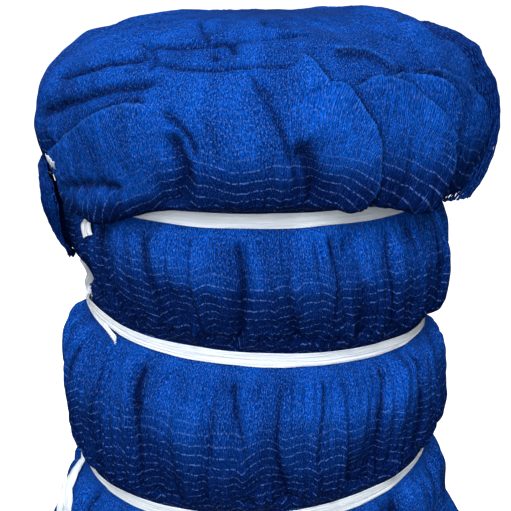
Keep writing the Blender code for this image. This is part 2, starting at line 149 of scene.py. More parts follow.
def softSpot(angle, height, spot):
    # a shallow hollow or hump: its angle, width, height, reach and depth
    at, width, level, reach, depth = spot
    return depth * around(angle, at, width) * bell(height - level, reach)


def rounded(a, b, c, d, part):
    # a place between b and c on a rounded way through all four
    return 0.5 * (2 * b + (c - a) * part + (2 * a - 5 * b + 4 * c - d) * part ** 2
                  + (3 * b - a - 3 * c + d) * part ** 3)


def netGrid(part, angles, rowCount):
    # angle, way along the side and section of every point of a piece of the bale
    rows, along = densify(bale[part], rowCount)
    angle, along = np.meshgrid(angles, along)
    return angle, along, np.repeat(rows[:, None, :], len(angles), axis=1)


def clothNoise(angle, along, look, seed):
    # bunches, narrow pleats, puckers and broad dents
    bunch, pleat, pucker, dent = look["stretch"]
    return (ropes(angle, along, look["ropeSize"], bunch, seed),
            ropes(angle, along, look["pleatSize"], pleat, seed + 11.3),
            roundNoise(angle, along, look["puckerSize"], pucker, seed + 5.1),
            roundNoise(angle, along, look["dentSize"], dent, seed + 23.7))


def undersideShadeOf(outward, begins, span):
    # where to paint shade: 1 where the net faces down, 0 where it faces up, softened along the bale
    facing = outward[..., 2]
    reach = max(2, len(facing) // 9)
    weights = np.hanning(2 * reach + 3)[1:-1]
    padded = np.pad(facing, ((reach, reach), (0, 0)), mode="edge")
    facing = sum(weight * padded[row:row + len(facing)] for row, weight in enumerate(weights / weights.sum()))
    return smooth((begins - facing) / span)


# Materials

def setSocket(node, name, value):
    node.inputs[name].default_value = value


class Nodes:
    # one material, and the nodes that make its colour and relief
    def __init__(self, name):
        self.material = bpy.data.materials.new(name)
        self.material.use_nodes = True
        self.tree = self.material.node_tree
        self.shader = self.tree.nodes["Principled BSDF"]

    def add(self, kind, **settings):
        node = self.tree.nodes.new(kind)
        for key, value in settings.items():
            setattr(node, key, value)
        return node

    def feed(self, socket, value):
        if isinstance(value, bpy.types.NodeSocket):
            self.tree.links.new(value, socket)
        else:
            socket.default_value = value

    def math(self, operation, a, b=0.0, c=0.0, clamp=False):
        node = self.add("ShaderNodeMath", operation=operation, use_clamp=clamp)
        for socket, value in zip(node.inputs, (a, b, c)):
            self.feed(socket, value)
        return node.outputs[0]

    def times(self, a, b):
        return self.math("MULTIPLY", a, b)

    def plus(self, a, b):
        return self.math("ADD", a, b)

    def timesPlus(self, a, b, c):
        return self.math("MULTIPLY_ADD", a, b, c)

    def ramp(self, value, low, high, outLow=0.0, outHigh=1.0):
        node = self.add("ShaderNodeMapRange", interpolation_type="SMOOTHSTEP")
        for key, given in (("Value", value), ("From Min", low), ("From Max", high),
                           ("To Min", outLow), ("To Max", outHigh)):
            self.feed(node.inputs[key], given)
        return node.outputs["Result"]

    def noise(self, x, y, detail=1.0, rough=0.5):
        place = self.add("ShaderNodeCombineXYZ")
        self.feed(place.inputs[0], x)
        self.feed(place.inputs[1], y)
        node = self.add("ShaderNodeTexNoise", noise_dimensions="2D")
        self.feed(node.inputs["Vector"], place.outputs[0])
        for key, value in (("Scale", 1.0), ("Detail", detail), ("Roughness", rough)):
            setSocket(node, key, value)
        return node.outputs["Fac"]

    def mix(self, share, a, b):
        node = self.add("ShaderNodeMix", data_type="RGBA")
        for number, value in ((0, share), (6, a), (7, b)):
            self.feed(node.inputs[number], value)
        return node.outputs[2]

    def layout(self):
        # the piece's own map: u runs across the twines, v along them, both in metres
        node = self.add("ShaderNodeUVMap", uv_map="net")
        split = self.add("ShaderNodeSeparateXYZ")
        self.feed(split.inputs[0], node.outputs[0])
        return split.outputs[0], split.outputs[1]

    def attribute(self, name):
        return self.add("ShaderNodeAttribute", attribute_name=name).outputs["Fac"]

    def finish(self, colour, height, look):
        # colour and relief go to the shader with the look's finish
        self.feed(self.shader.inputs["Base Color"], colour)
        setSocket(self.shader, "Roughness", look["roughness"])
        setSocket(self.shader, "Specular IOR Level", look["shine"])
        node = self.add("ShaderNodeBump")
        self.feed(node.inputs["Height"], height)
        setSocket(node, "Distance", look["bump"][0])
        setSocket(node, "Strength", look["bump"][1])
        self.feed(self.shader.inputs["Normal"], node.outputs[0])
        return self.material


netLook = {
    "deepBlue": (0.0008, 0.006, 0.058, 1.0),  # between the twines
    "twineBlue": (0.002, 0.088, 0.54, 1.0),  # the lit tops of the twines
    "knotBlue": (0.12, 0.26, 0.76, 1.0),  # rows of knots, paler where the twines double
    "rimHighlightBlue": (0.014, 0.15, 0.66, 1.0),  # a fold's edge, where layers lie together, with a painted highlight along it
    "shadeBlue": (0.0005, 0.004, 0.036, 1.0),  # painted shade deep in a crease and just behind a lobe's rim
    "twinePitch": 0.002,
    "stray": {"wander": 2.4, "lean": 3.0, "crimp": (1.3, 0.3)},  # in pitches; crimp loose and combed
    "twineShare": 0.42, "fibreShare": 0.58,  # what the twines and their fibres add to the lit blue
    "rowPitch": 0.0088, "rowSway": 2.1,  # sway in pitches
    "rowWobble": (0.22, 0.39),  # spread and start, in pitches
    "rowEdge": (0.1, 0.03),  # half width of a row, outer and inner, in pitches
    # rowWhereLit: the rows are faint where the net is lit and full where it faces down, a painted shine of the knots
    # in the shade
    "rowShare": 0.5, "rowWhereLit": 0.14,
    # tickWhereLow: fewer pale ticks where the net faces down, painted shade
    "tickShare": 0.38, "tickWhereLow": 0.3,
    "crease": (0.12, 0.7),  # painted shade: blue left in a crease, and how much of it turns to the shade blue
    "undersideShade": 0.11,  # painted shade: how much of the blue is left where the net faces down
    "roughness": 0.58, "shine": 0.01, "bump": (0.0007, 0.75),
    "grains": {  # grains of each noise a metre, across and lengthwise
        "wander": (90.0, 28.0), "lean": (35.0, 9.0), "crimp": (300.0, 210.0),
        "short": (1200.0, 430.0), "long": (800.0, 55.0), "tick": (900.0, 480.0),
        "speck": (960.0, 400.0), "patch": (26.0, 14.0), "sway": (13.0, 8.0),
    },
}


def makeNetMaterial(name, look):
    n = Nodes(name)
    u, v = n.layout()
    # the marks: combed twines, painted shade in creases and behind rims, a painted rim highlight, and low for
    # painted shade where the net faces down
    combed, crease, rimHighlight, low = [n.attribute(key) for key in ("combed", "crease", "rimHighlight", "low")]

    def grain(key, detail=1.0, rough=0.5, shift=0.0):
        across, along = look["grains"][key]
        return n.noise(n.timesPlus(u, across, shift), n.times(v, along), detail, rough)

    # the twines, bunched lengthwise, crimped and never quite parallel
    stray = look["stray"]
    shifted = n.plus(n.math("DIVIDE", u, look["twinePitch"]), n.times(grain("wander", 2.0), stray["wander"]))
    shifted = n.plus(shifted, n.times(grain("lean"), stray["lean"]))
    shifted = n.plus(shifted, n.times(grain("crimp"), n.ramp(combed, 0.0, 1.0, *stray["crimp"])))
    twine = n.math("SINE", n.times(shifted, 2.0 * math.pi))
    twine = n.timesPlus(twine, 0.5, 0.5)
    short = grain("short", 2.0, 0.6)
    fibre = n.timesPlus(n.math("SUBTRACT", grain("long", 2.0, 0.6), short), combed, short)
    tick = grain("tick", shift=31.0)
    speck = grain("speck")
    patch = grain("patch", 3.0, 0.55)
    # the rows of knots: fine lines of short dashes in smooth arches
    rows = n.plus(n.math("DIVIDE", v, look["rowPitch"]), n.times(grain("sway", 1.0, 0.4), look["rowSway"]))
    rowId = n.math("FLOOR", rows)
    wobble = n.noise(n.times(u, 70.0), n.times(rowId, 5.3))
    off = n.math("SUBTRACT", n.math("FRACT", rows), n.timesPlus(wobble, *look["rowWobble"]))
    dash = n.ramp(n.math("ABSOLUTE", off), *look["rowEdge"])
    beads = n.noise(n.times(u, 640.0), n.times(rowId, 9.7))
    gaps = n.noise(n.times(u, 80.0), n.timesPlus(rowId, 3.1, 50.0))
    dash = n.times(dash, n.ramp(beads, 0.44, 0.56, 0.05, 1.0))
    dash = n.times(dash, n.ramp(gaps, 0.3, 0.42, 0.2, 1.0))
    # the rows fade where the net is lit: a painted shine of the knots in the shade
    dash = n.times(dash, n.ramp(low, 0.0, 0.6, look["rowWhereLit"], 1.0))
    # how much of the lit blue shows, from the deep blue between the twines up
    body = n.timesPlus(twine, look["twineShare"], n.ramp(fibre, 0.3, 0.68, 0.0, look["fibreShare"]))
    # specks of brighter and darker twine: random tone with painted glints of the nylon
    body = n.times(body, n.ramp(speck, 0.32, 0.64, 0.3, 1.35))
    body = n.times(body, n.ramp(patch, 0.3, 0.7, 0.72, 1.12))
    body = n.math("ADD", body, n.ramp(patch, 0.3, 0.72, 0.02, 0.16), clamp=True)
    # painted shade: darker in the creases and behind the lobes' rims
    body = n.times(body, n.ramp(crease, 0.0, 1.0, 1.0, look["crease"][0]))
    # painted shade: darker where the net faces down
    body = n.times(body, n.ramp(low, 0.0, 1.0, 1.0, look["undersideShade"]))
    # paler along a lobe's rim, where layers lie doubled and a painted highlight runs, and on the palest fibres
    pale = n.math("MAXIMUM", n.times(rimHighlight, 0.55), n.ramp(fibre, 0.62, 0.8, 0.0, 0.35))
    # pale ticks, fewer where the net faces down: painted shade
    tick = n.times(n.ramp(tick, 0.6, 0.74, 0.0, look["tickShare"]), n.ramp(low, 0.1, 0.7, 1.0, look["tickWhereLow"]))
    colour = n.mix(body, look["deepBlue"], look["twineBlue"])
    colour = n.mix(pale, colour, look["rimHighlightBlue"])
    colour = n.mix(tick, colour, look["knotBlue"])
    colour = n.mix(n.times(dash, look["rowShare"]), colour, look["knotBlue"])
    # painted shade deep in the creases and just behind the lobes' rims
    colour = n.mix(n.times(crease, look["crease"][1]), colour, look["shadeBlue"])
    relief = n.timesPlus(fibre, 0.5, n.times(twine, 0.8))
    relief = n.plus(relief, n.times(speck, 0.35))
    relief = n.plus(relief, n.times(dash, 0.7))
    return n.finish(colour, relief, look)


ribbonLook = {
    "white": (0.87, 0.94, 1.0, 1.0),
    "streak": (0.5, 0.6, 0.74, 1.0),
    "streakShare": 0.6,
    "roughness": 0.34, "shine": 0.5, "bump": (0.0006, 0.8),
}


def makeRibbonMaterial(name, look):
    n = Nodes(name)
    u, v = n.layout()
    fine = n.noise(n.times(u, 2600.0), n.times(v, 26.0), 3.0, 0.6)
    broad = n.noise(n.times(u, 700.0), n.times(v, 9.0), 2.0)
    streak = n.times(n.ramp(fine, 0.62, 0.3), n.ramp(broad, 0.7, 0.35))
    colour = n.mix(n.times(streak, look["streakShare"]), look["white"], look["streak"])
    return n.finish(colour, n.timesPlus(broad, 0.8, fine), look)


twineLook = {
    "blue": (0.0008, 0.015, 0.12, 1.0),
    "paler": (0.004, 0.062, 0.34, 1.0),
    "grain": 420.0,
    "roughness": 0.55, "shine": 0.05, "bump": (0.0003, 0.6),
}


def makeTwineMaterial(name, look):
    n = Nodes(name)
    place = n.add("ShaderNodeTexCoord")
    grain = n.add("ShaderNodeTexNoise")
    n.feed(grain.inputs["Vector"], place.outputs["Object"])
    setSocket(grain, "Scale", look["grain"])
    setSocket(grain, "Detail", 2.0)
    share = n.ramp(grain.outputs["Fac"], 0.42, 0.72)
    return n.finish(n.mix(share, look["blue"], look["paler"]), grain.outputs["Fac"], look)


netMaterial = makeNetMaterial("net twine bunched", netLook)
ribbonMaterial = makeRibbonMaterial("ribbon split film", ribbonLook)
twineMaterial = makeTwineMaterial("net twine single", twineLook)


# Pieces

def claim(piece, node):
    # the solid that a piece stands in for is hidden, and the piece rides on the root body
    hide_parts(node)
    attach(piece, "root")


def addObject(name, data):
    made = bpy.data.objects.new(name, data)
    bpy.context.scene.collection.objects.link(made)
    return made


def plainGrid(name, across, along, size=1.0):
    shape = bmesh.new()
    bmesh.ops.create_grid(shape, x_segments=across, y_segments=along, size=size)
    mesh = bpy.data.meshes.new(name)
    shape.to_mesh(mesh)
    shape.free()
    return mesh


def gridMesh(name, points, layout, material, marks=None, closed=False):
    # a plain grid with its points placed again, its map and its marks for the material
    rows, columns = points.shape[:2]
    mesh = plainGrid(name, columns - 1, rows - 1)
    flat = np.empty(rows * columns * 3)
    mesh.vertices.foreach_get("co", flat)
    flat = flat.reshape(-1, 3)
    column = np.rint((flat[:, 0] + 1.0) * 0.5 * (columns - 1)).astype(int)
    row = np.rint((flat[:, 1] + 1.0) * 0.5 * (rows - 1)).astype(int)
    mesh.vertices.foreach_set("co", points[row, column].ravel())
    corners = np.empty(len(mesh.loops), dtype=np.int32)
    mesh.loops.foreach_get("vertex_index", corners)
    placed = np.stack([layout[0][row, column], layout[1][row, column]], axis=-1)
    uv = mesh.uv_layers.new(name="net")
    uv.data.foreach_set("uv", placed[corners].ravel())
    for key, values in (marks or {}).items():
        mark = mesh.attributes.new(key, "FLOAT", "POINT")
        mark.data.foreach_set("value", values[row, column].astype(np.float32).ravel())
    if closed:
        shape = bmesh.new()
        shape.from_mesh(mesh)
        bmesh.ops.remove_doubles(shape, verts=shape.verts, dist=0.00002)
        shape.to_mesh(mesh)
        shape.free()
    mesh.update()
    mesh.shade_smooth()
    mesh.materials.append(material)
    return addObject(name, mesh)


# Lengthwise folds of the storeys. Each fold: angle, half width in degrees, depth, lean, lap.
# The lap is which side of the crease rises steeply: 1 for the right side, -1 for the left.

folds = {
    "foot": (
        (-78, 4, 0.01, 2, 1), (-58, 4, 0.008, -3, -1), (-37, 4, 0.01, 2, 1), (-17, 3, 0.008, 0, 1),
        (4, 4, 0.01, -2, -1), (25, 3, 0.009, 2, 1), (46, 4, 0.011, 3, 1), (68, 4, 0.009, -2, -1),
    ),
    "middle": (
        (-78, 3, 0.006, 2, -1), (-66, 3.6, 0.008, 3, -1), (-51, 3, 0.008, 2, -1), (-34, 3.4, 0.009, 2, -1),
        (-21, 3, 0.006, 0, 1), (-12, 2.4, 0.004, -2, 1), (-3, 3.2, 0.01, -5, 1), (8, 3, 0.009, -4, 1),
        (17, 2.6, 0.005, 1, -1), (26, 3, 0.01, 1, -1), (38, 3, 0.008, 2, 1), (48, 3, 0.005, 1, 1),
        (57, 4, 0.009, 3, 1), (75, 4, 0.008, 0, 1),
    ),
    "upper": (
        (-70, 4, 0.008, -3, -1), (-50, 4, 0.009, -3, -1), (-40, 2.5, 0.004, 1, 1), (-32, 3, 0.007, 0, -1),
        (-18, 3, 0.006, 0, 1), (-6, 3, 0.011, 0, 1), (3, 2.4, 0.004, 1, -1), (9, 3, 0.006, 0, 1),
        (20, 3, 0.007, 0, -1), (29, 3, 0.012, 0, 1), (41, 3, 0.006, -1, 1), (50, 3.6, 0.01, -2, 1),
        (66, 4, 0.008, 0, 1), (81, 4, 0.008, 0, 1),
    ),
}
backFolds = {"count": 11, "from": 94, "to": 268, "width": 3.6, "depths": (0.009, 0.006, 0.008)}
foldLook = {
    "wave": 1.6,  # how far a fold's line sways, in degrees
    "steep": (0.55, 1.5),  # its steep and easy sides, in half widths
    "full": 0.009,  # the depth from which the painted shade in a fold's crease is full
    "arch": 0.00075,  # rise of the rows of knots for each degree between two folds
}


def foldsBehind(storey):
    # uneven folds round the back
    pitch = (backFolds["to"] - backFolds["from"]) / backFolds["count"]
    turn = len(storey)
    for number in range(backFolds["count"]):
        angle = backFolds["from"] + pitch * (number + 0.5) + 5.0 * math.sin(2.4 * number + turn)
        depth = backFolds["depths"][(number + turn) % 3]
        yield (angle, backFolds["width"], depth, 2.0 * math.cos(number), 1 if number % 3 else -1)


def allFolds(storey):
    yield from folds[storey]
    yield from foldsBehind(storey)


def foldRelief(angle, up, storey):
    relief = np.zeros_like(angle)
    mark = np.zeros_like(angle)
    for number, (at, width, depth, lean, lap) in enumerate(allFolds(storey)):
        path = at + lean * (up - 0.5) + foldLook["wave"] * np.sin(5.0 * up + 2.1 * number)
        off = turnBetween(angle, path)
        steep = np.where(off * lap > 0.0, *foldLook["steep"]) * width
        fade = 0.75 + 0.35 * np.sin(3.7 * number + 4.0 * up)
        relief -= depth * fade * np.exp(-np.abs(off / steep) ** 1.15)
        # painted shade along the fold's crease
        mark = np.maximum(mark, min(1.0, depth / foldLook["full"]) * fade * bell(off, 0.27 * width))
    return relief, mark


def archOf(angle, up, storey):
    # how far the rows of knots rise between two neighbouring folds
    at = np.array(sorted(fold[0] for fold in allFolds(storey)))
    at = np.concatenate(([at[-1] - 360.0], at, [at[0] + 360.0]))
    round360 = (angle + 90.0) % 360.0 - 90.0
    place = np.clip(np.searchsorted(at, round360) - 1, 0, len(at) - 2)
    gap = at[place + 1] - at[place]
    share = 2.0 * (round360 - at[place]) / gap - 1.0
    return foldLook["arch"] * gap * (1.0 - share * share) * (1.25 - up)


hollows = {"upper": (-82.0, 26.0, 0.407, 0.023, 0.01)}  # beside the tied end at the left

storeyLook = {
    "ropes": 0.003, "ropeSize": 0.024,  # the bunches between the named folds
    "pleats": 0.0014, "pleatSize": 0.0085,  # narrow pleats, deeper near the ties
    "pucker": 0.0009, "puckerSize": 0.004,
    "dent": 0.004, "dentSize": 0.05,
    "stretch": (9.0, 7.0, 3.5, 1.0),  # of all four, lengthwise
    "tied": (0.008, 0.012),  # plain under a tie, and how far the relief then takes to grow
    "gather": (1.1, 0.014, 0.016),  # more pleats near a tie: how much more, where, over what
    "standing": (0.12, 0.06),  # the foot's flat base is plain as far as this, then grows
    # where the painted shade on the undersides begins, and over what it grows
    "undersideShade": (0.52, 0.8),
    "arch": 0.001, "sway": 0.006,  # how the rows of knots arch over the bunches
}


def buildStorey(storey, name, columns, rowCount, seed, tieBelow=True):
    look = storeyLook
    phase = np.linspace(-math.pi, math.pi, columns)
    angle, along, table = netGrid(storey, np.degrees(phase - 0.28 * np.sin(phase)), rowCount)
    points = plainPoint(angle, table)
    outward = outwardOf(points)
    up = along / along.max()
    height = table[..., 0]
    fromTop = bale[storey][-1][0] - height
    fromFoot = height - bale[storey][0][0]
    near = np.minimum(fromTop, fromFoot) if tieBelow else fromTop
    clear = smooth((near - look["tied"][0]) / look["tied"][1])
    more, where, reach = look["gather"]
    gather = 1.0 + more * bell(near - where, reach)
    bunch, pleat, pucker, dent = clothNoise(angle, along, look, seed)
    fold, mark = foldRelief(angle, up, storey)
    relief = fold + look["ropes"] * bunch + look["pleats"] * gather * pleat
    relief += look["pucker"] * gather * pucker + look["dent"] * dent
    if storey in hollows:
        relief = relief - softSpot(angle, height, hollows[storey])
    relief = relief * clear
    if not tieBelow:
        relief = relief * smooth((along - look["standing"][0]) / look["standing"][1])
    points = points + outward * relief[..., None]
    if not tieBelow:
        points[..., 2] = np.maximum(points[..., 2], 0.0)
    across = np.radians(angle) * bale["noiseRadius"]
    lengthwise = along + look["arch"] * bunch + look["sway"] * dent + 0.2 * fold - archOf(angle, up, storey)
    # marks: painted shade in the folds' creases and where the net faces down, no painted rim highlight
    marks = {"crease": np.maximum(mark, 0.55 * smooth(-fold / 0.011)) * clear, "rimHighlight": np.zeros_like(angle),
             "low": undersideShadeOf(outward, *look["undersideShade"]), "combed": np.zeros_like(angle)}
    claim(gridMesh(name, points, (across, lengthwise), netMaterial, marks, closed=True), "net_bale")


buildStorey("foot", "netFoot", 560, 112, 3.1, tieBelow=False)
buildStorey("middle", "netMiddle", 800, 118, 7.7)
buildStorey("upper", "netUpper", 800, 104, 12.9)
print("stage: storeys built")


# The head. Its folded lobes are drawn as edge lines on the plain head: stops are (angle, height),
# from the line's start to its end. The cloth is (rise, span, fall, over): it rises by rise towards
# the line from its high side, over span, falls back over fall on the other side, and leans over
# the line by over. The high side is left of the line's direction, where nothing else is said.

head = {
    "hangs": ((-50, 18, 0.026), (66, 26, 0.013)),  # angle, width, drop of the lower lip
    "hangTop": 0.56, "lip": 0.511,
    "frontFrom": -104, "frontTo": 104,
    "ropes": 0.0016, "ropeSize": 0.026,
    "pleats": 0.0008, "pleatSize": 0.009,
    "pucker": 0.0006, "puckerSize": 0.0042,
    "dent": 0.003, "dentSize": 0.045, "stretch": (6.0, 6.0, 3.0, 1.2),
    "layers": 0.004,  # layers lying over each other on the crown
    "rolls": ((-0.085, 0.02, 0.004), (-0.02, 0.022, 0.0045),
              (0.055, 0.024, 0.005), (0.115, 0.018, 0.0035)),  # depth along y, width and rise of each
    "hump": (94.0, 40.0, 0.64, 0.014, 0.01),
    # where the painted shade on the head's undersides begins, and over what it grows
    "undersideShade": (0.24, 0.6),
    "fanTop": 0.612,  # above this height the lobes' twines run upright
}

# How the cloth lies at the lobes' edge lines, and the painted highlight and shadow there.
edgeLook = {
    "roll": (0.22, 0.0028),  # the rim rounds over: share of the rise, and reach
    "under": (0.35, 0.007),  # the hollow below the line: share of the rise, and reach
    "rimHighlight": (0.0006, 0.0013),  # where the painted highlight along the rim lies, and its width
    "shade": (0.0062, 0.55, 0.017),  # the painted shadow behind it: width, then share and reach of the softer part
    "full": 0.008,  # the rise from which the painted rim highlight and painted shadow are at their strongest
}

edgeLines = (
    # the right lobes, from the front one back: each line runs from the lobe's lower end up
    {"name": "lobeA", "cloth": (0.011, 0.026, 0.0022, 0.003), "stops": (
        (23, 0.507), (26, 0.53), (27.3, 0.56), (25.9, 0.577), (24.8, 0.585), (23.4, 0.5955), (21.8, 0.6036),
        (19.8, 0.6089), (16, 0.6133))},
    {"name": "lobeATop", "cloth": (0.006, 0.02, 0.002, 0.002), "stops": (
        (17.6, 0.6105), (15, 0.6229), (12.9, 0.6283), (11, 0.631))},
    {"name": "lobeB", "cloth": (0.014, 0.034, 0.0022, 0.0035), "stops": (
        (41, 0.503), (46.5, 0.52), (48.5, 0.545), (47, 0.568), (44, 0.583), (40, 0.596), (36, 0.604),
        (30, 0.6085), (22, 0.606))},
    {"name": "lobeC", "cloth": (0.007, 0.016, 0.002, 0.002), "stops": (
        (49, 0.553), (52.5, 0.57), (53.5, 0.583), (51.5, 0.595), (47, 0.606), (41, 0.612), (35, 0.614))},
    {"name": "lobeD", "cloth": (0.012, 0.026, 0.0022, 0.0025), "stops": (
        (80, 0.503), (80, 0.53), (76, 0.556), (71, 0.575), (65, 0.59), (58, 0.602), (49, 0.611),
        (42, 0.615))},
    {"name": "lobeE", "cloth": (0.011, 0.03, 0.003, 0.0025), "stops": (
        (92, 0.56), (89, 0.58), (83, 0.6), (76, 0.616), (69, 0.628), (60, 0.636), (48, 0.641))},
    # the left pillow: its upper edge, from the far left up to the front
    {"name": "pillow", "high": "right", "cloth": (0.012, 0.04, 0.005, 0.003), "stops": (
        (-61, 0.53), (-57.5, 0.541), (-53, 0.551), (-48, 0.561), (-42, 0.574), (-36, 0.584), (-30, 0.591),
        (-23, 0.594))},
    # the top layer above the right lobes
    {"name": "topFront", "cloth": (0.0045, 0.024, 0.006, 0.001), "stops": (
        (21, 0.633), (25.1, 0.6319), (31.9, 0.6305), (34.9, 0.626), (37.8, 0.6198), (40.3, 0.6114))},
)

# Creases: soft valleys, with painted shade along them. Each has a width, a depth and its stops.
creaseLines = (
    (0.009, 0.014, ((-19.3, 0.58), (-18, 0.56), (-17, 0.54), (-19, 0.51))),
    (0.004, 0.006, ((-22, 0.592), (-18, 0.584), (-15, 0.572), (-13, 0.556))),
    (0.013, 0.016, ((9, 0.574), (12, 0.55), (13, 0.528), (13, 0.508))),
    (0.0034, 0.0048, ((-3.4, 0.6273), (-0.7, 0.6181), (1.3, 0.6088), (4.3, 0.5949), (5.8, 0.5783), (7.3, 0.5619),
     (9, 0.535), (10, 0.515))),
    (0.003, 0.0028, ((-10.3, 0.5888), (-9.1, 0.5692), (-8.2, 0.5502))),
    (0.0035, 0.0045, ((-35.3, 0.6492), (-22.5, 0.643), (-12.4, 0.6349))),
    (0.0035, 0.0045, ((-40.2, 0.6376), (-30.3, 0.63), (-28.4, 0.6186))),
    (0.005, 0.006, ((-60, 0.516), (-51, 0.521), (-42, 0.527), (-31, 0.528))),
    (0.004, 0.006, ((-11.6, 0.641), (-5.9, 0.6324))),
    (0.0045, 0.005, ((-13, 0.635), (-11, 0.6275))),
    (0.007, 0.019, ((84, 0.642), (77, 0.6395), (72.1, 0.6372), (67.4, 0.6317), (64.5, 0.627))),
    (0.0038, 0.0055, ((-47.6, 0.636), (-33.7, 0.6358), (-22.6, 0.6367), (-10.5, 0.6404), (0.5, 0.6418),
     (14.5, 0.6427), (17, 0.638))),
    (0.0038, 0.0055, ((-33.7, 0.6282), (-21.9, 0.6236), (-13.7, 0.623), (-2.5, 0.6253), (13.6, 0.6262))),
    (0.005, 0.01, ((41.9, 0.6553), (38.1, 0.652), (34.2, 0.6479), (41.9, 0.6455), (43.8, 0.6406), (48.5, 0.6316))),
    (0.006, 0.007, ((-66, 0.604), (-54.8, 0.6129), (-49.3, 0.6173), (-44.1, 0.6237), (-38.6, 0.6268),
     (-31, 0.631))),
    (0.0075, 0.008, ((-74, 0.566), (-65.5, 0.5762), (-56.7, 0.5852), (-48, 0.5941), (-40.7, 0.6024),
     (-32.5, 0.6089), (-22, 0.614))),
    (0.004, 0.005, ((-17.1, 0.656), (-0.7, 0.6501), (3, 0.647))),
    (0.0035, 0.004, ((1, 0.6125), (4.9, 0.6004))),
    (0.004, 0.005, ((-37.8, 0.6339), (-31.9, 0.6284))),
    (0.01, 0.016, ((-57, 0.556), (-61, 0.54), (-64, 0.524), (-64, 0.506))),
    (0.012, 0.012, ((-92, 0.54), (-92, 0.525), (-92, 0.506))),
)


def lipDrop(angle, height):
    reach = smooth((head["hangTop"] - height) / (head["hangTop"] - head["lip"]))
    reach = reach * smooth((height - 0.5075) / 0.003)
    return reach * sum(drop * around(angle, at, width) for at, width, drop in head["hangs"])


def headPlace(angle, height):
    # a place on the plain head from an angle and the height at which it shows
    table = np.array(bale["head"])
    level = height
    for _ in range(4):
        level = height + lipDrop(np.array(angle), np.array(level))
    row = np.array([np.interp(level, table[:, 0], table[:, k]) for k in range(5)])
    return plainPoint(np.array(float(angle)), row) + np.array([0.0, 0.0, height - level])


def smoothLine(stops):
    # a rounded run of points through a line's stops
    fixed = np.array([headPlace(angle, height) for angle, height in stops])
    ends = np.vstack([2 * fixed[0] - fixed[1], fixed, 2 * fixed[-1] - fixed[-2]])
    run = []
    for k in range(1, len(ends) - 2):
        run.extend(rounded(*ends[k - 1:k + 3], part) for part in np.arange(6) / 6)
    run.append(fixed[-1])
    return np.array(run)


def offLine(points, outward, run):
    # signed distance of each point from a line (positive at its right), share along it, way across
    flat, normal = points.reshape(-1, 3), outward.reshape(-1, 3)
    off = np.full(len(flat), 1e9)
    share = np.zeros(len(flat))
    across = np.zeros((len(flat), 3))
    lengths = np.linalg.norm(np.diff(run, axis=0), axis=1)
    walked = 0.0
    for a, b, length in zip(run, run[1:], lengths):
        way = (b - a) / length
        along = np.clip((flat - a) @ way, 0.0, length)
        gap = flat - a - along[:, None] * way
        near = np.linalg.norm(gap, axis=1)
        closer = near < np.abs(off)
        right = np.cross(way, normal)
        off = np.where(closer, np.where((gap * right).sum(axis=1) >= 0.0, near, -near), off)
        across = np.where(closer[:, None], right, across)
        share = np.where(closer, (walked + along) / lengths.sum(), share)
        walked += length
    shape = points.shape[:-1]
    return off.reshape(shape), share.reshape(shape), unit(across).reshape(points.shape)


def taper(share, low, high):
    return smooth(share / low) * smooth((1.0 - share) / high)


def headFeatures(points, outward):
    relief, rimHighlight, crease = np.zeros((3, *points.shape[:-1]))
    shift = np.zeros(points.shape)
    offsets = {}
    rollShare, rollReach = edgeLook["roll"]
    underShare, underReach = edgeLook["under"]
    rimAt, rimWidth = edgeLook["rimHighlight"]
    shadeWidth, softShare, softReach = edgeLook["shade"]
    for line in edgeLines:
        off, share, across = offLine(points, outward, smoothLine(line["stops"]))
        # off is made positive on the high side, and across points there
        if "high" not in line:
            off, across = -off, -across
        offsets[line["name"]] = off
        hold = taper(share, 0.04 if line["name"].startswith("lobe") else 0.1, 0.14)
        rise, span, fall, over = line["cloth"]
        swell = np.where(off >= 0.0, np.exp(-(np.maximum(off, 0.0) / span) ** 1.4), 1.0 - smooth(-off / fall))
        below = np.where(off < 0.0, np.exp(np.minimum(off + fall, 0.0) / underReach), 0.0)
        roll = np.where(off >= 0.0, -rollShare * np.exp(-off / rollReach), 0.0)
        relief += rise * hold * (swell + roll) - underShare * rise * hold * below
        shift -= across * (over * hold * bell(off - 0.001, 0.005))[..., None]
        # a painted highlight along the rim, and painted shadow behind it on the low side
        strength = hold * min(1.0, rise / edgeLook["full"])
        rimHighlight = np.maximum(rimHighlight, strength * bell(off - rimAt, rimWidth))
        behind = bell(off, shadeWidth) + softShare * np.exp(np.minimum(off, 0.0) / softReach)
        crease = np.maximum(crease, strength * np.where(off < 0.0, np.minimum(1.0, behind), 0.0))
    for width, depth, stops in creaseLines:
        off, share, _ = offLine(points, outward, smoothLine(stops))
        hold = taper(share, 0.2, 0.12)
        relief -= depth * hold * np.exp(-np.abs(off / width) ** 1.3)
        # painted shade along the crease
        crease = np.maximum(crease, 0.8 * hold * bell(off, width * 0.7) * min(1.0, depth / 0.0065))
    return relief, shift, rimHighlight, crease, offsets


# How the twines fan out over the lobes: from the angle where they run upright to the lobe's far
# side, and how far they lean sideways for each metre up at both.
fans = (
    {"inside": "pillow", "from": -22.0, "to": -56.0, "lean": (-0.1, -1.3)},
    {"inside": "lobeA", "from": 3.0, "to": 28.0, "lean": (0.0, 0.75)},
    {"inside": "lobeB", "from": 22.0, "to": 48.0, "lean": (0.15, 0.6)},
    {"inside": "lobeD", "from": 44.0, "to": 82.0, "lean": (0.15, 0.5)},
)


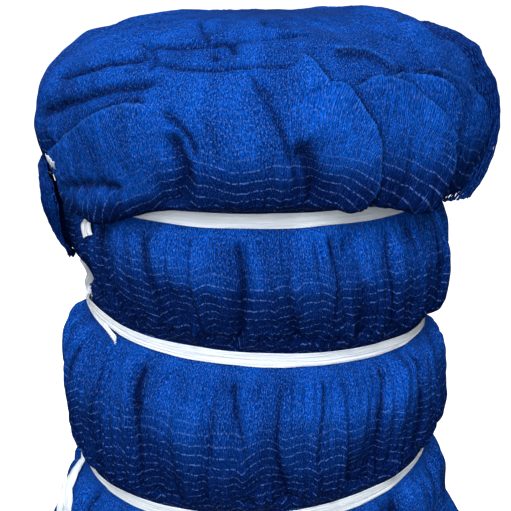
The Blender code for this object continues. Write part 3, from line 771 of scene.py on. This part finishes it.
def buildHead(name, angles, rowCount, seed):
    angle, along, table = netGrid("head", angles, rowCount)
    height = table[..., 0]
    points = plainPoint(angle, table, lipDrop(angle, height))
    outward = outwardOf(points)
    outward[-1] = (0.0, 0.0, 1.0)
    clear = smooth((height - 0.5085) / 0.01)
    toCrown = smooth((0.6555 - height) / 0.008)
    bunch, pleat, pucker, dent = clothNoise(angle, along, head, seed)
    lowPart = smooth((0.575 - height) / 0.05)
    flat = 1.0 - 0.6 * smooth((height - 0.6) / 0.03)
    relief = (head["ropes"] * bunch * (0.5 + lowPart) + head["pleats"] * pleat * (0.5 + 1.2 * lowPart)) * flat
    relief += head["pucker"] * pucker * flat + head["dent"] * dent
    # the crown's layers and rolls run from left to right
    x, y = points[..., 0], points[..., 1]
    crownPart = smooth((height - 0.622) / 0.018)
    bands = noiseAt(x / 0.16 + 4.0, y / 0.03, 2.5) + 0.5 * noiseAt(x / 0.09, y / 0.013, 8.5)
    relief += head["layers"] * crownPart * (0.55 - np.abs(bands) / 0.3)
    for at, width, rise in head["rolls"]:
        relief += crownPart * rise * bell(y - at, width)
    relief += softSpot(angle, height, head["hump"])
    lobed, shift, rimHighlight, crease, offsets = headFeatures(points, outward)
    back = np.zeros_like(relief)
    for at, width, depth, lean, lap in foldsBehind("foot"):
        path = at + lean * 3.0 * (height - 0.57) / 0.06
        off = turnBetween(angle, path)
        steep = np.where(off * lap > 0.0, 0.5, 3.2) * width
        back -= 1.2 * depth * np.exp(-np.abs(off / steep) ** 1.2)
    lobed = lobed + back * smooth((0.645 - height) / 0.03)
    fade = clear * toCrown
    relief = (relief + lobed) * fade
    points = points + outward * relief[..., None] + shift * fade[..., None]
    across = np.radians(angle) * bale["noiseRadius"]
    lengthwise = along + 0.001 * bunch + 0.006 * dent
    # the fans of the lobes
    free = np.ones_like(relief)
    combed = np.zeros_like(relief)
    for fan in fans:
        share = (angle - fan["from"]) / (fan["to"] - fan["from"])
        inside = free * smooth((offsets[fan["inside"]] + 0.001) / 0.002) * smooth(share / 0.04)
        inside = inside * smooth((1.3 - share) / 0.1)
        free = free - inside
        combed = combed + inside * smooth(share / 0.3)
        start, end = fan["lean"]
        lean = start + (end - start) * np.clip(share, 0.0, 1.2)
        aside = np.radians(angle - fan["from"]) * bale["noiseRadius"]
        across = across + inside * lean * np.maximum(0.0, head["fanTop"] - height)
        upright = smooth((head["fanTop"] - height) / 0.03)
        lengthwise = lengthwise + inside * 0.5 * (lean + start) * aside * upright
    # painted shade where the net faces down, less of it on the pillow's face
    low = undersideShadeOf(outward, *head["undersideShade"])
    onPillow = smooth(offsets["pillow"] / 0.004) * smooth((-20.0 - angle) / 6.0) * smooth((height - 0.519) / 0.012)
    marks = {"crease": crease * fade, "rimHighlight": rimHighlight * fade, "low": low * (1.0 - 0.75 * onPillow),
             "combed": combed}
    claim(gridMesh(name, points, (across, lengthwise), netMaterial, marks, closed=True), "net_bale")


# both pieces have the same rows and seed, so that they meet at their seams
buildHead("netHeadFront", np.linspace(head["frontFrom"], head["frontTo"], 570), 172, 17.3)
buildHead("netHeadBack", np.linspace(head["frontTo"], head["frontFrom"] + 360.0, 280), 172, 17.3)
print("stage: head built")


# The ribbons: split film drawn flat round each neck, with lengthwise ridges and frayed ends

ribbon = {
    "width": 0.0128, "thickness": 0.0006, "gap": 0.0007, "least": 0.0006, "ridge": 0.0007,
    "around": 420, "across": 15,
    "narrowed": 0.64,  # how much narrower the band is at its knot
    "thinAt": (72.0, 22.0),  # angle and width of the place where it is thin
    "raisedAt": (-66.0, 14.0),  # and of the place where it is raised
    "curl": 0.0008,  # how far its edges stand off
    "endThickness": 0.0004, "strands": 3,
    "knotThickness": 0.0008, "knotLift": 0.004, "knotRadius": 0.0033, "knotStrip": 0.0058,
    "knotLoops": ((0.5, 1.0), (-0.7, 0.9), (1.3, 0.75)),  # tilt and size
}

ties = (
    {"name": "tie_1", "piece": "ribbonTop", "height": 0.499, "neck": (0.168, 0.1502, 0.0, 0.0), "seed": 1.7,
     "knot": -62, "narrow": 24, "thin": 0.0, "raise": 0.0,
     "ends": (
        {"width": (0.01, 0.012), "facing": -45, "stops": (
            (-61, 0.498, 0.0045), (-58, 0.49, 0.004), (-56, 0.48, 0.0036), (-55, 0.47, 0.0034))},
        {"width": (0.003, 0.01), "facing": -40, "stops": (
            (-64, 0.4985, 0.004), (-62, 0.506, 0.004), (-60, 0.515, -0.012), (-57, 0.527, -0.004),
            (-54, 0.537, 0.011), (-52, 0.546, 0.015))},
    )},
    {"name": "tie_2", "piece": "ribbonMiddle", "height": 0.374, "neck": (0.1645, 0.1458, 0.003, -0.047), "seed": 5.2,
     "knot": -87, "narrow": 38, "thin": 0.35, "raise": 0.009,
     "ends": (
        {"width": (0.006, 0.011), "facing": -30, "stops": (
            (-88, 0.378, 0.006), (-87, 0.386, 0.004), (-84, 0.398, -0.001), (-81, 0.411, -0.004),
            (-79, 0.422, -0.005))},
        {"width": (0.005, 0.0065), "facing": -45, "stops": (
            (-88, 0.3745, 0.0055), (-76, 0.375, 0.0045), (-66, 0.3745, 0.0045), (-57, 0.3715, 0.005),
            (-49, 0.365, 0.006))},
    )},
    {"name": "tie_3", "piece": "ribbonLow", "height": 0.2285, "neck": (0.1742, 0.1662, 0.0, 0.044), "seed": 9.4,
     "knot": -82, "narrow": 38, "thin": 0.55, "raise": 0.0,
     "ends": (
        {"width": (0.005, 0.017), "facing": -25, "stops": (
            (-81, 0.226, 0.0055), (-78, 0.22, 0.0065), (-74, 0.213, 0.006), (-70, 0.202, 0.006),
            (-68, 0.19, 0.006), (-67, 0.178, 0.0055))},
    )},
)


# every section above the foot's flat base
sections = np.array([row for storey in ("foot", "middle", "upper", "head") for row in bale[storey]][3:])


def sectionAt(height):
    return np.array([np.interp(height, sections[:, 0], sections[:, k]) for k in range(5)])


def ribbonPiece(name, points, layout, thickness, closed=False):
    piece = gridMesh(name, points, layout, ribbonMaterial, closed=closed)
    wall = piece.modifiers.new("film", "SOLIDIFY")
    wall.thickness = thickness
    wall.offset = 0.0
    return piece


def buildBand(tie):
    angle = np.linspace(-180.0, 180.0, ribbon["around"])
    across = np.linspace(-0.5, 0.5, ribbon["across"])
    angleGrid, acrossGrid = np.meshgrid(angle, across)
    turn = np.radians(angleGrid)
    halfWidth, halfDepth, shiftX, slope = tie["neck"]
    width = ribbon["width"] * (1.0 + 0.16 * roundNoise(angleGrid, 0.0, 0.06, 1.0, tie["seed"]))
    nearKnot = around(angleGrid, tie["knot"], tie["narrow"])
    width = width * (1.0 - ribbon["narrowed"] * nearKnot)
    width = width * (1.0 - tie["thin"] * around(angleGrid, *ribbon["thinAt"]))
    raised = tie["raise"] * around(angleGrid, *ribbon["raisedAt"])
    ridge = noiseAt(acrossGrid * 9.0 + tie["seed"], 3.0 * np.sin(turn), 3.0 * np.cos(turn))
    ridge = ridge + 0.5 * noiseAt(acrossGrid * 22.0, 5.0 * np.sin(turn), 5.0 * np.cos(turn) + tie["seed"])
    lift = ribbon["gap"] + ribbon["ridge"] * (0.9 + 1.2 * ridge) + 0.0006 * nearKnot
    curled = roundNoise(angleGrid, 0.0, 0.03, 1.0, tie["seed"] + 3.0) + 0.3
    lift = lift + ribbon["curl"] * (2.0 * np.abs(acrossGrid)) ** 4 * curled
    lift = np.maximum(lift, ribbon["least"]) + 0.45 * raised
    x = shiftX + (halfWidth + lift) * np.sin(turn)
    y = -(halfDepth + lift) * np.cos(turn)
    z = tie["height"] + slope * x + acrossGrid * width + raised
    points = np.stack([x, y, z], axis=-1)
    layout = (acrossGrid * width + tie["seed"], turn * halfWidth)
    return ribbonPiece(tie["piece"], points, layout, ribbon["thickness"], closed=True)


def outwardAt(angle):
    turn = math.radians(angle)
    return Vector((math.sin(turn), -math.cos(turn), 0.0))


def routePoint(angle, height, lift):
    row = sectionAt(height)
    turn = math.radians(angle)
    x = row[3] + (row[1] + lift) * math.sin(turn)
    return Vector((x, -(row[2] + lift) * math.cos(turn), height + row[4] * x))


def alongStops(values, share):
    at = share * (len(values) - 1)
    k = min(int(at), len(values) - 2)
    part = at - k
    b, c = np.array(values[k]), np.array(values[k + 1])
    a = np.array(values[k - 1]) if k else 2 * b - c
    d = np.array(values[k + 2]) if k + 2 < len(values) else 2 * c - b
    return rounded(a, b, c, d, part)


def buildEnd(tie, number, end, strand):
    # one of the narrow films that a free end splits into; they part towards the tip
    steps, cells = 40, 5
    centre = [routePoint(*alongStops(end["stops"], step / steps)) for step in range(steps + 1)]
    grid = np.zeros((steps + 1, cells + 1, 3))
    u, v = np.zeros((2, steps + 1, cells + 1))
    walked = 0.0
    side = (strand + 0.5) / ribbon["strands"] - 0.5
    seed = tie["seed"] + 3.1 * number + strand
    outward = outwardAt(end["facing"])
    narrow, wide = end["width"]
    layered = 0.0007 * strand % 0.0014  # neighbouring films lie over each other
    for step, point in enumerate(centre):
        ahead = centre[min(steps, step + 1)] - centre[max(0, step - 1)]
        across = ahead.cross(outward).normalized()
        face = across.cross(ahead).normalized()
        share = step / steps
        width = narrow + (wide - narrow) * share
        spread = side * width * (0.85 + 0.35 * share * share)
        own = width / ribbon["strands"] * (1.55 - 0.35 * share ** 3)
        twist = 0.9 * noise.noise((share * 2.5, seed, 1.0))
        stray = 0.0016 * share * share * noise.noise((share * 3.0, seed, 5.0))
        if step:
            walked += (point - centre[step - 1]).length
        for cell in range(cells + 1):
            t = cell / cells - 0.5
            offset = across * (spread + t * own * math.cos(twist) + stray)
            rise = face * (t * own * math.sin(twist) + 0.0006 * math.cos(t * 5.0) + layered + stray)
            grid[step, cell] = point + offset + rise
            u[step, cell] = t * own + seed
            v[step, cell] = walked
    return ribbonPiece(f"{tie['piece']}End{number}{strand}", grid, (u, v), ribbon["endThickness"])


def buildKnot(tie, number):
    # one of the short loops, wound over each other, of the film doubled and pulled tight
    centre = routePoint(tie["knot"], tie["height"], ribbon["knotLift"])
    out, right, up = outwardAt(tie["knot"]), outwardAt(tie["knot"] + 90.0), Vector((0.0, 0.0, 1.0))
    tilt, size = ribbon["knotLoops"][number]
    steps, cells = 36, 6
    grid = np.zeros((steps + 1, cells + 1, 3))
    u, v = np.zeros((2, steps + 1, cells + 1))
    along = right * math.cos(tilt) + up * math.sin(tilt)
    side = up * math.cos(tilt) - right * math.sin(tilt)
    for step in range(steps + 1):
        angle = 2.0 * math.pi * step / steps
        radius = ribbon["knotRadius"] * size * (1.0 + 0.12 * math.cos(3.0 * angle + number))
        spot = centre + side * (1.35 * radius * math.cos(angle))
        spot = spot + out * (0.8 * radius * math.sin(angle) + 0.0006)
        for cell in range(cells + 1):
            t = cell / cells - 0.5
            aside = t * ribbon["knotStrip"]
            grid[step, cell] = spot + along * (aside * size) + out * 0.0006 * math.cos(5.0 * t)
            u[step, cell] = aside + tie["seed"] + number
            v[step, cell] = angle * radius
    return ribbonPiece(f"{tie['piece']}Knot{number}", grid, (u, v), ribbon["knotThickness"])


for tie in ties:
    parts = [buildBand(tie)] + [buildKnot(tie, number) for number in range(len(ribbon["knotLoops"]))]
    for number, end in enumerate(tie["ends"]):
        parts.extend(buildEnd(tie, number, end, strand) for strand in range(ribbon["strands"]))
    for part in parts:
        claim(part, tie["name"])
print("stage: ribbons built")


# Loose single layers: real twines, knotted into long narrow meshes. Each row of a layer is a
# height, half width, half depth and the angles at which it starts and ends.

looseLayers = (
    {"piece": "looseEdgeNet", "node": "loose_edge", "flat": (0.6, 0.165), "seed": 2.2, "radius": 0.00047,
     "twines": 66, "rows": 15, "plies": 3, "tuck": 0.032, "table": (
         (0.645, 0.16, 0.142, 78, 100), (0.6385, 0.18, 0.16, 74, 104), (0.625, 0.202, 0.18, 71, 108),
         (0.614, 0.208, 0.187, 69, 112), (0.596, 0.2205, 0.2, 66, 120), (0.576, 0.225, 0.2045, 64, 125),
         (0.552, 0.226, 0.2055, 62, 127), (0.53, 0.2225, 0.203, 61, 126), (0.508, 0.214, 0.196, 60, 119),
         (0.493, 0.203, 0.187, 58, 106))},
    {"piece": "looseFlapNet", "node": "loose_flap", "flat": (0.3, 0.11), "seed": 6.8, "radius": 0.00042,
     "twines": 74, "rows": 11, "plies": 3, "tuck": 0.0, "table": (
         (0.527, 0.1993, 0.1813, -108, -72), (0.514, 0.204, 0.1862, -110, -61), (0.49, 0.202, 0.185, -115, -61),
         (0.462, 0.193, 0.181, -117, -67), (0.446, 0.186, 0.179, -115, -69), (0.432, 0.179, 0.176, -112, -77))},
)
looseTwine = {
    "knot": 1.9, "opening": 0.4, "perRow": 3,  # knots in twine radii, half a mesh's opening in twines
    "wave": 0.0016, "crumple": 0.0022,  # how far a layer sways in and out
    "plyGap": 0.0016, "tuckedTo": 0.42,  # the layers' distance, and where the tucked part ends
}


def buildLoose(layer):
    table = np.array(layer["table"])
    shares = np.linspace(0.0, 1.0, len(table))
    curve = bpy.data.curves.new(layer["piece"], "CURVE")
    curve.dimensions = "3D"
    curve.bevel_depth = layer["radius"]
    curve.bevel_resolution = 0
    curve.use_fill_caps = True
    count, rows, per = layer["twines"], layer["rows"], looseTwine["perRow"]
    for ply in range(layer["plies"]):
        for twine in range(count):
            spots, sizes = [], []
            for step in range(rows * per + 1):
                row = step / per
                part = step % per
                sway = math.cos(math.pi * row)
                across = (twine + 0.5 + looseTwine["opening"] * sway * (1 if twine % 2 else -1)) / count
                across += 0.018 * noise.noise((row * 0.35, twine * 0.11, layer["seed"] + 7.0 * ply)) + 0.004 * ply
                down = (row + 0.12 * noise.noise((twine * 0.4, row, layer["seed"] + ply))) / rows
                held = min(1.0, max(0.0, down))
                height, halfWidth, halfDepth, start, end = (np.interp(held, shares, table[:, k]) for k in range(5))
                across = min(1.0, max(0.0, across))
                turn = math.radians(start + (end - start) * across)
                wave = looseTwine["wave"] * math.sin(15.7 * across + 3.0 * down)
                wave += looseTwine["crumple"] * noise.noise((across * 9.0, down * 4.0, layer["seed"] + ply))
                tuck = layer["tuck"] * (1.0 - smooth(across / looseTwine["tuckedTo"]))
                lift = wave + looseTwine["plyGap"] * (1 - ply) - tuck
                spots.append(((halfWidth + lift) * math.sin(turn), -(halfDepth + lift) * math.cos(turn), height))
                sizes.append(looseTwine["knot"] if part == 0 else 1.0)
            line = curve.splines.new("POLY")
            line.points.add(len(spots) - 1)
            for point, spot, size in zip(line.points, spots, sizes):
                point.co = (*spot, 1.0)
                point.radius = size
    holder = addObject(layer["piece"] + "Curve", curve)
    mesh = bpy.data.meshes.new_from_object(holder.evaluated_get(bpy.context.evaluated_depsgraph_get()))
    bpy.data.objects.remove(holder)
    mesh.materials.clear()
    mesh.materials.append(twineMaterial)
    piece = addObject(layer["piece"], mesh)
    claim(piece, layer["node"])


for layer in looseLayers:
    buildLoose(layer)
print("stage: loose layers built")


# Floor, light and camera

stage = {
    "size": 30.0, "drop": 0.0005,
    "floor": {"Base Color": (0.93, 0.93, 0.93, 1.0), "Roughness": 0.9,
              "Emission Color": (1.0, 1.0, 1.0, 1.0), "Emission Strength": 0.75},
    # from a little below the horizon up
    "sky": {"From Min": -0.1, "From Max": 0.45, "To Min": 0.02, "To Max": 0.5},
}
floor = addObject("floor", plainGrid("floor", 1, 1, stage["size"]))
floor.location = (0.0, 0.0, -stage["drop"])
pale = Nodes("floor pale")
for key, value in stage["floor"].items():
    setSocket(pale.shader, key, value)
floor.data.materials.append(pale.material)
floor.visible_diffuse = False
floor.visible_glossy = False

lights = (
    {"name": "softKey", "size": 1.4, "power": 58.0, "place": (-0.1, -1.95, 2.25), "aim": (0.0, 0.0, 0.45)},
    {"name": "softTop", "size": 2.0, "power": 6.0, "place": (0.2, 0.1, 2.6), "aim": (0.0, 0.0, 0.5)},
    {"name": "softFront", "size": 1.5, "power": 29.0, "place": (-0.4, -2.33, 1.0), "aim": (0.0, 0.0, 0.4)},
)
for light in lights:
    data = bpy.data.lights.new(light["name"], "AREA")
    data.shape = "DISK"
    data.size = light["size"]
    data.energy = light["power"]
    lamp = addObject(light["name"], data)
    lamp.location = light["place"]
    way = Vector(light["aim"]) - Vector(light["place"])
    lamp.rotation_euler = way.to_track_quat("-Z", "Y").to_euler()

sky = bpy.data.worlds.new("studio")
sky.use_nodes = True
bpy.context.scene.world = sky
nodes, links = sky.node_tree.nodes, sky.node_tree.links
background = nodes["Background"]
coord, split, level = (nodes.new("ShaderNode" + kind) for kind in ("TexCoord", "SeparateXYZ", "MapRange"))
links.new(coord.outputs["Generated"], split.inputs[0])
links.new(split.outputs[2], level.inputs["Value"])
for key, value in stage["sky"].items():
    setSocket(level, key, value)
links.new(level.outputs["Result"], background.inputs["Strength"])
setSocket(background, "Color", (1.0, 1.0, 1.0, 1.0))

cameraView = {"place": (0.0, -0.9, 0.713), "down": 18.0, "lens": 67.2}
camera = addObject("camera", bpy.data.cameras.new("camera"))
camera.location = cameraView["place"]
camera.rotation_euler = (math.radians(90.0 - cameraView["down"]), 0.0, 0.0)
camera.data.sensor_width = 36.0
camera.data.lens = cameraView["lens"]
bpy.context.scene.camera = camera
bpy.context.scene.view_settings.view_transform = "Standard"
print("stage: camera and light set")
